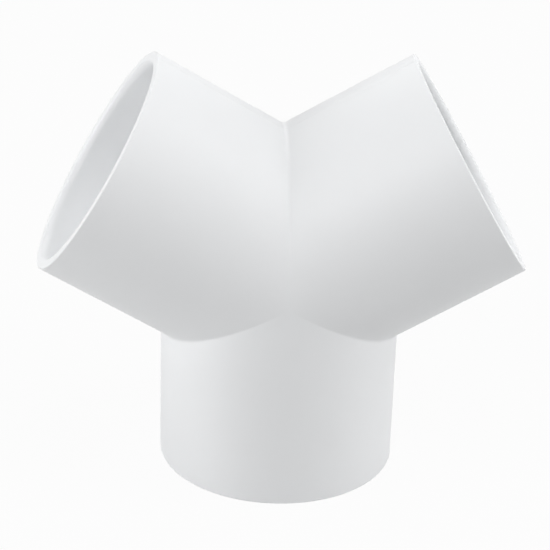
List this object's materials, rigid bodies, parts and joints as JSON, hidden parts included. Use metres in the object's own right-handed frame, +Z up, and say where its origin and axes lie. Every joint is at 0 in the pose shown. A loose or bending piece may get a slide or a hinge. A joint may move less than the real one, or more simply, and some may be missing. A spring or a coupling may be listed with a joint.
{
  "type": "true wye pipe fitting",
  "caption": "Moulded white PVC true wye: equal round sockets 120 degrees apart in one plane join pipes at a common centre.",
  "frame": {"origin": "middle of the stem's mouth, on which the fitting stands", "axes": "+Z up the stem's axis towards the point where the three axes meet, 60.19 mm above the origin; the two arms lean 60 degrees either side of +Z in the XZ plane, the left one towards -X and the right one towards +X; +Y is square to the plane of the legs"},
  "size_m": [0.1378, 0.068, 0.1195],
  "materials": {
    "white_pvc": "satin"
  },
  "bodies": {
    "root": {"wye_body": "white_pvc"}
  },
  "joints": []
}
